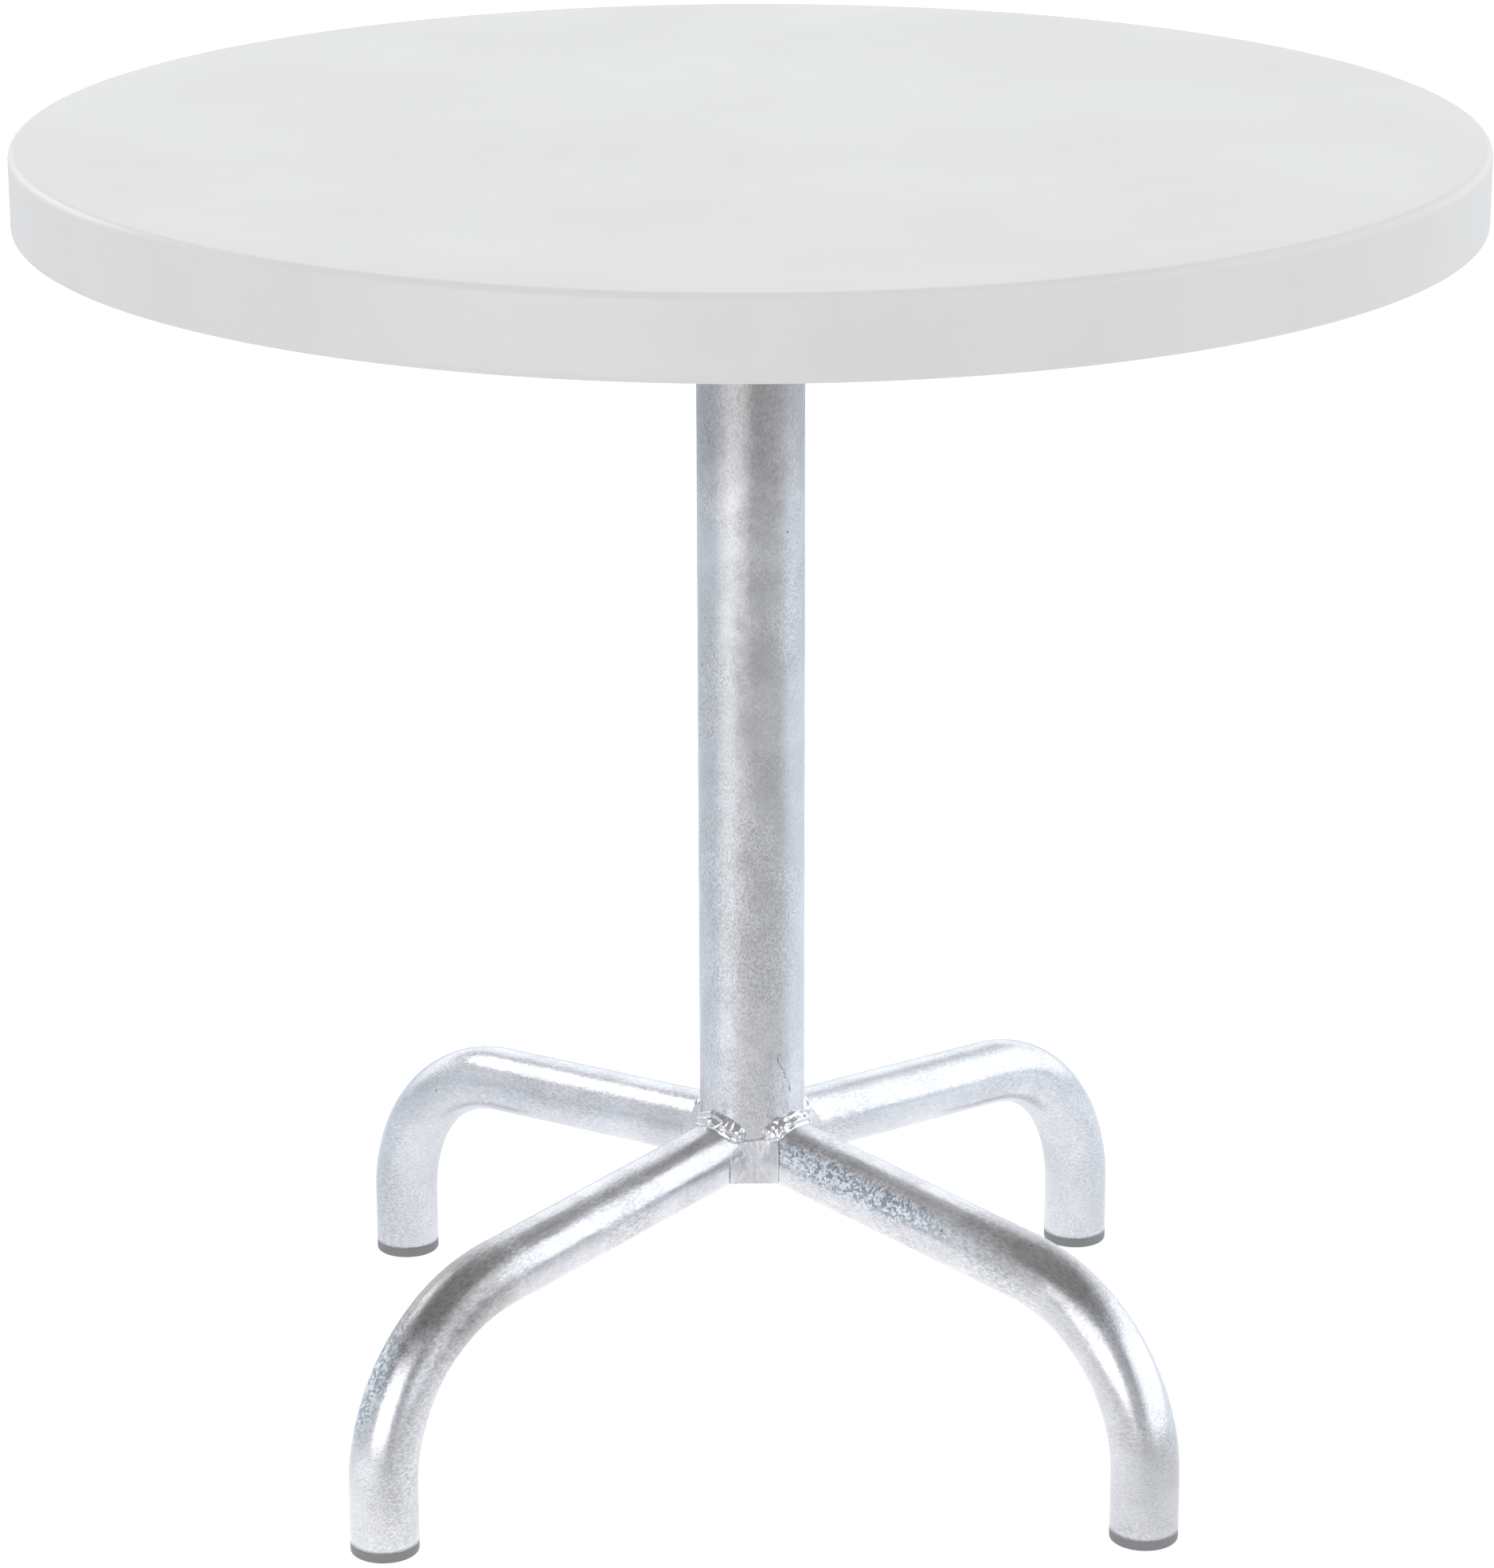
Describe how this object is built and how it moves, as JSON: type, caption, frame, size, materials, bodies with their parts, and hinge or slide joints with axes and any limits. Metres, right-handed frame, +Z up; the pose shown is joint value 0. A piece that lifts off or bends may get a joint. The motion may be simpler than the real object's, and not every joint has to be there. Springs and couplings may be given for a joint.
{
  "type": "bistro table",
  "caption": "Round light-grey moulded table top with a turned-down rim on a galvanised tube pedestal with four bent legs and plastic foot caps.",
  "frame": {"origin": "on the floor, on the column's axis", "axes": "+Z up along the column; +X and +Y point between the legs, which stand at 45 degrees to them"},
  "size_m": [0.7999, 0.8, 0.745],
  "materials": {
    "gelcoat": "satin-gloss light-grey gelcoat over glass-fibre plastic",
    "laminate": "rough brushed glass-fibre laminate",
    "plywood": "raw plywood, sealed inside the laminate",
    "galvanised_steel": "hot-dip galvanised, bright with mottled grey patches",
    "screw_steel": "plain stainless",
    "insert_brass": "plain machined",
    "cap_plastic": "mid-grey moulded polyethylene"
  },
  "bodies": {
    "root": {"table_top": "gelcoat", "core_board": "plywood", "core_laminate": "laminate", "threaded_inserts": "insert_brass", "head_plate": "galvanised_steel", "arm_screws": "screw_steel", "arm_washers": "screw_steel", "head_weld": "galvanised_steel", "column_tube": "galvanised_steel", "cross_arm_1": "galvanised_steel", "arm_weld_1": "galvanised_steel", "leg_1": "galvanised_steel", "leg_weld_1": "galvanised_steel", "crotch_weld_1": "galvanised_steel", "foot_cap_1": "cap_plastic", "cross_arm_2": "galvanised_steel", "arm_weld_2": "galvanised_steel", "leg_2": "galvanised_steel", "leg_weld_2": "galvanised_steel", "crotch_weld_2": "galvanised_steel", "foot_cap_2": "cap_plastic", "cross_arm_3": "galvanised_steel", "arm_weld_3": "galvanised_steel", "leg_3": "galvanised_steel", "leg_weld_3": "galvanised_steel", "crotch_weld_3": "galvanised_steel", "foot_cap_3": "cap_plastic", "cross_arm_4": "galvanised_steel", "arm_weld_4": "galvanised_steel", "leg_4": "galvanised_steel", "leg_weld_4": "galvanised_steel", "crotch_weld_4": "galvanised_steel", "foot_cap_4": "cap_plastic"}
  },
  "joints": []
}
